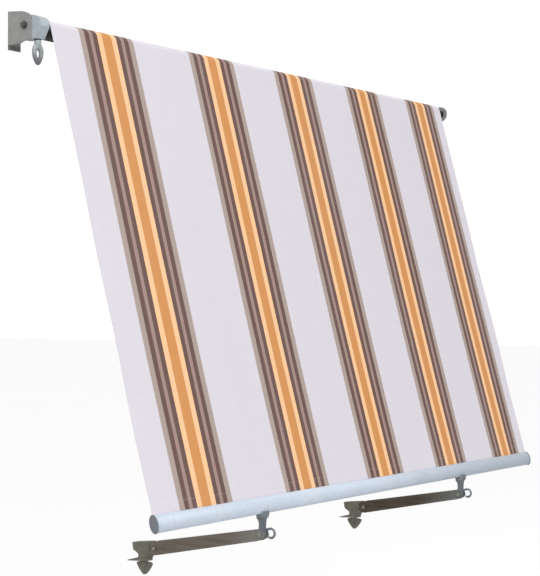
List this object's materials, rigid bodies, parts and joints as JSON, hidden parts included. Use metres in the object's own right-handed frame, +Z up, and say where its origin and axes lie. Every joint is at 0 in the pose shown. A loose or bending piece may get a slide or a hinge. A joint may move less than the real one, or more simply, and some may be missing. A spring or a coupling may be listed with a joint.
{
  "type": "fabric awning",
  "caption": "Striped fabric drop awning with wall brackets, a crank-driven roller, an oval front bar and hinged clamp arms that hold its lower edge out from the wall.",
  "frame": {"origin": "On the wall plane, midway between the brackets, at the height of the roller axis", "axes": "+X along the width to the right as seen from outside, +Y into the wall, +Z up"},
  "size_m": [2.031, 0.46, 1.3991],
  "materials": {
    "galvanised": "Pressed and zinc-coated steel, matt grey with light weathering",
    "casting": "Die-cast alloy, matt, slightly blue grey",
    "hardware": "Plated steel fasteners and shafts",
    "crank_eye": "Cast steel, dull grey",
    "worm_wheel": "Machined brass, greased",
    "black_plastic": "Black nylon, matt",
    "bar_coating": "Extruded aluminium, pale satin powder coat",
    "grey_plastic": "Grey moulded plastic, matt",
    "arm_coating": "Weathered dark taupe coating on pressed steel",
    "clamp_coating": "Weathered olive-grey coating on cast alloy",
    "cloth": "Woven acrylic awning cloth, off-white with tan, brown, mauve, cream and orange stripes along the drop",
    "keder": "White plastic cord in a hem"
  },
  "bodies": {
    "wall_set": {"bracket_left": "galvanised", "bracket_right": "galvanised", "gear_housing": "casting", "gear_cover": "casting", "gear_cover_screw_1": "hardware", "gear_cover_screw_2": "hardware", "gear_cover_screw_3": "hardware", "gear_mount_bolt": "hardware", "gear_mount_washer": "hardware", "worm_bush": "black_plastic", "idler_bush": "black_plastic", "fabric_sheet": "cloth"},
    "roller": {"roller_tube": "galvanised", "roller_keder": "keder", "roller_plug_left": "black_plastic", "roller_plug_right": "black_plastic", "drive_square": "hardware", "worm_wheel": "worm_wheel", "idler_pin": "hardware", "idler_ring": "hardware", "fabric_roll": "cloth"},
    "crank": {"worm": "hardware", "crank_eye": "crank_eye", "crank_eye_pin": "hardware"},
    "bar": {"front_bar": "bar_coating", "bar_keder": "keder", "bar_cap_left": "grey_plastic", "bar_cap_right": "grey_plastic", "left_hanger_post": "casting", "left_hanger_tee_bolt": "hardware", "right_hanger_post": "casting", "right_hanger_tee_bolt": "hardware"},
    "left_arm": {"left_arm_channel": "arm_coating", "left_arm_hook": "casting", "left_arm_bolt": "hardware", "left_arm_nut": "hardware"},
    "left_clamp": {"left_clamp_head": "clamp_coating", "left_clamp_bolt": "hardware", "left_clamp_nut": "hardware"},
    "left_jaw": {"left_clamp_jaw": "clamp_coating"},
    "left_wing": {"left_wing_screw": "clamp_coating"},
    "right_arm": {"right_arm_channel": "arm_coating", "right_arm_hook": "casting", "right_arm_bolt": "hardware", "right_arm_nut": "hardware"},
    "right_clamp": {"right_clamp_head": "clamp_coating", "right_clamp_bolt": "hardware", "right_clamp_nut": "hardware"},
    "right_jaw": {"right_clamp_jaw": "clamp_coating"},
    "right_wing": {"right_wing_screw": "clamp_coating"}
  },
  "joints": [
    {"name": "bar_raise", "type": "slide", "parent": "wall_set", "child": "bar", "axis": [0, 0.2656, 0.9641], "range_m": [0, 1.1], "deforming": ["fabric_sheet"]},
    {"name": "roller_spin", "type": "hinge", "parent": "wall_set", "child": "roller", "pos_m": [0, -0.068, 0], "axis": [1, 0, 0], "range_deg": [-2640, 10]},
    {"name": "crank_spin", "type": "hinge", "parent": "wall_set", "child": "crank", "pos_m": [-0.992, -0.08, 0], "axis": [0, 0, 1], "range_deg": [-28950, 60]},
    {"name": "left_arm_swing", "type": "hinge", "parent": "bar", "child": "left_arm", "pos_m": [-0.541, -0.41289, -1.22107], "axis": [1, 0, 0], "range_deg": [-95, 20]},
    {"name": "left_clamp_swing", "type": "hinge", "parent": "left_arm", "child": "left_clamp", "pos_m": [-0.541, -0.08055, -1.28266], "axis": [1, 0, 0], "range_deg": [-50, 30]},
    {"name": "left_jaw_open", "type": "slide", "parent": "left_clamp", "child": "left_jaw", "axis": [0, 0, -1], "range_m": [0, 0.012]},
    {"name": "left_wing_turn", "type": "hinge", "parent": "left_jaw", "child": "left_wing", "pos_m": [-0.541, -0.03855, -1.28266], "axis": [0, 0, 1], "range_deg": [-5, 3500]},
    {"name": "right_arm_swing", "type": "hinge", "parent": "bar", "child": "right_arm", "pos_m": [0.497, -0.41289, -1.22107], "axis": [1, 0, 0], "range_deg": [-95, 20]},
    {"name": "right_clamp_swing", "type": "hinge", "parent": "right_arm", "child": "right_clamp", "pos_m": [0.497, -0.08055, -1.28266], "axis": [1, 0, 0], "range_deg": [-50, 30]},
    {"name": "right_jaw_open", "type": "slide", "parent": "right_clamp", "child": "right_jaw", "axis": [0, 0, -1], "range_m": [0, 0.012]},
    {"name": "right_wing_turn", "type": "hinge", "parent": "right_jaw", "child": "right_wing", "pos_m": [0.497, -0.03855, -1.28266], "axis": [0, 0, 1], "range_deg": [-5, 3500]}
  ],
  "couplings": [
    {"joint": "roller_spin", "follows": "bar_raise", "rad_per_m": -41.667},
    {"joint": "crank_spin", "follows": "bar_raise", "rad_per_m": -458.33},
    {"joint": "left_wing_turn", "follows": "left_jaw_open", "rad_per_m": 5026.5},
    {"joint": "right_wing_turn", "follows": "right_jaw_open", "rad_per_m": 5026.5}
  ]
}
